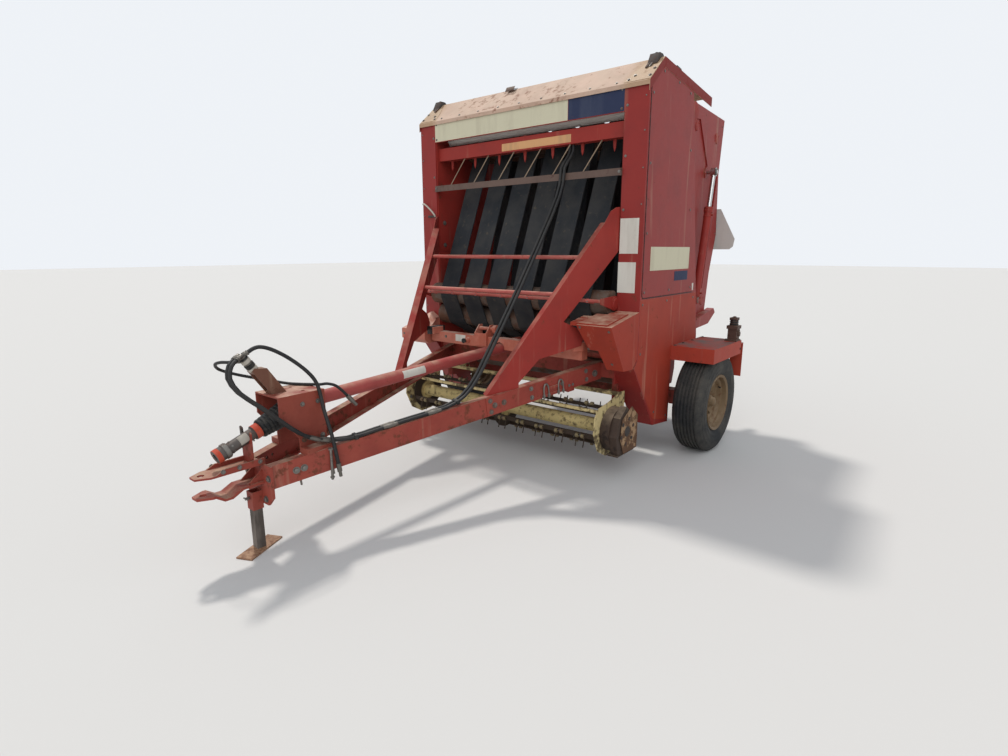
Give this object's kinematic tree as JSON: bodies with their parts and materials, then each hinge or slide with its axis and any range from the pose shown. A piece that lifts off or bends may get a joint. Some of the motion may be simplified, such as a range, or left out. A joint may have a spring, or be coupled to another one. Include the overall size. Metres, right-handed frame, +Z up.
{
  "type": "round baler",
  "caption": "Drawn round baler on two wheels with flat belts over rollers, tined pickup reel, lifting tailgate with cylinders and a drawbar resting on a jack",
  "frame": {"origin": "Middle of the whole length and width, on the ground under the tyres", "axes": "+X to the machine's left side as seen from behind with the drawbar ahead, +Y from drawbar to tailgate, +Z up"},
  "size_m": [2.674, 4.334, 2.714],
  "materials": {
    "red_paint": "matte",
    "cream_paint": "matte",
    "roof_paint": "matte",
    "roller_steel": "rough",
    "belt_rubber": "matte",
    "hose_rubber": "satin",
    "coupler_steel": "brushed",
    "rim_paint": "matte",
    "tyre_rubber": "matte",
    "plate_grey": "matte",
    "rod_chrome": "polished",
    "bare_steel": "worn",
    "tine_yellow": "matte",
    "guard_plastic": "matte"
  },
  "bodies": {
    "frame": {"chassis": "red_paint", "axle": "red_paint", "side_housing_left": "red_paint", "side_housing_right": "red_paint", "chamber_wall_left": "red_paint", "chamber_wall_right": "red_paint", "roof": "roof_paint", "header_board": "cream_paint", "header_tube": "red_paint", "header_rods": "cream_paint", "crossbar": "red_paint", "belt_guide": "red_paint", "front_rollers": "roller_steel", "belts_front": "belt_rubber", "floor_rollers": "roller_steel", "beam_left": "red_paint", "beam_right": "red_paint", "strut_left": "red_paint", "strut_right": "red_paint", "rungs": "red_paint", "hitch": "red_paint", "jack_sleeve": "red_paint", "driveline_stand": "red_paint", "driveline_tube": "red_paint", "gearbox": "red_paint", "hose_bracket": "red_paint", "twine_box": "red_paint", "side_hood": "red_paint", "cross_channel": "red_paint", "fender_left": "red_paint", "fender_right": "red_paint", "fender_block": "red_paint", "hose_pair": "hose_rubber", "hose_arch": "hose_rubber", "hose_loop": "hose_rubber", "loop_plug": "coupler_steel", "arch_plug": "coupler_steel", "hose_couplers": "coupler_steel"},
    "wheel_left": {"rim_left": "rim_paint", "tyre_left": "tyre_rubber"},
    "wheel_right": {"rim_right": "rim_paint", "tyre_right": "tyre_rubber"},
    "tailgate": {"gate_side_left": "red_paint", "gate_side_right": "red_paint", "gate_frame": "red_paint", "gate_rollers": "roller_steel", "belts_gate": "belt_rubber", "gate_plate": "plate_grey"},
    "barrel_left": {"cylinder_barrel_left": "red_paint"},
    "barrel_right": {"cylinder_barrel_right": "red_paint"},
    "rod_left": {"cylinder_rod_left": "rod_chrome"},
    "rod_right": {"cylinder_rod_right": "rod_chrome"},
    "jack": {"jack_leg": "bare_steel"},
    "pickup": {"pickup_frame": "tine_yellow", "pickup_cap": "tine_yellow"},
    "reel": {"pickup_reel": "tine_yellow"},
    "pto": {"pto_shaft": "bare_steel", "pto_guard": "guard_plastic"}
  },
  "joints": [
    {"name": "wheel_left_turn", "type": "hinge", "parent": "frame", "child": "wheel_left", "pos_m": [1.193, 1.123, 0.38], "axis": [1, 0, 0], "continuous": true},
    {"name": "wheel_right_turn", "type": "hinge", "parent": "frame", "child": "wheel_right", "pos_m": [-1.193, 1.123, 0.38], "axis": [1, 0, 0], "continuous": true},
    {"name": "tailgate_lift", "type": "hinge", "parent": "frame", "child": "tailgate", "pos_m": [0, 1.423, 2.56], "axis": [1, 0, 0], "range_deg": [0, 65]},
    {"name": "barrel_left_turn", "type": "hinge", "parent": "frame", "child": "barrel_left", "pos_m": [0.885, 1.601, 1.104], "axis": [1, 0, 0], "range_deg": [-1.5, 0]},
    {"name": "barrel_right_turn", "type": "hinge", "parent": "frame", "child": "barrel_right", "pos_m": [-0.885, 1.601, 1.104], "axis": [1, 0, 0], "range_deg": [-1.5, 0]},
    {"name": "rod_left_slide", "type": "slide", "parent": "barrel_left", "child": "rod_left", "axis": [0, 0.1994, 0.9799], "range_m": [0, 0.62]},
    {"name": "rod_right_slide", "type": "slide", "parent": "barrel_right", "child": "rod_right", "axis": [0, 0.1994, 0.9799], "range_m": [0, 0.62]},
    {"name": "jack_slide", "type": "slide", "parent": "frame", "child": "jack", "axis": [0, 0, 1], "range_m": [0, 0.075]},
    {"name": "pickup_lift", "type": "hinge", "parent": "frame", "child": "pickup", "pos_m": [0, 0.563, 0.5], "axis": [-1, 0, 0], "range_deg": [0, 6]},
    {"name": "reel_turn", "type": "hinge", "parent": "pickup", "child": "reel", "pos_m": [0, 0.168, 0.335], "axis": [1, 0, 0], "continuous": true},
    {"name": "pto_swing", "type": "hinge", "parent": "frame", "child": "pto", "pos_m": [0, -1.642, 0.7], "axis": [-1, 0, 0], "range_deg": [0, 25]}
  ],
  "couplings": [
    {"joint": "barrel_left_turn", "follows": "tailgate_lift", "ratio": -0.0152},
    {"joint": "barrel_right_turn", "follows": "tailgate_lift", "ratio": -0.0152},
    {"joint": "rod_left_slide", "follows": "tailgate_lift", "m_per_rad": 0.5384},
    {"joint": "rod_right_slide", "follows": "tailgate_lift", "m_per_rad": 0.5384}
  ]
}
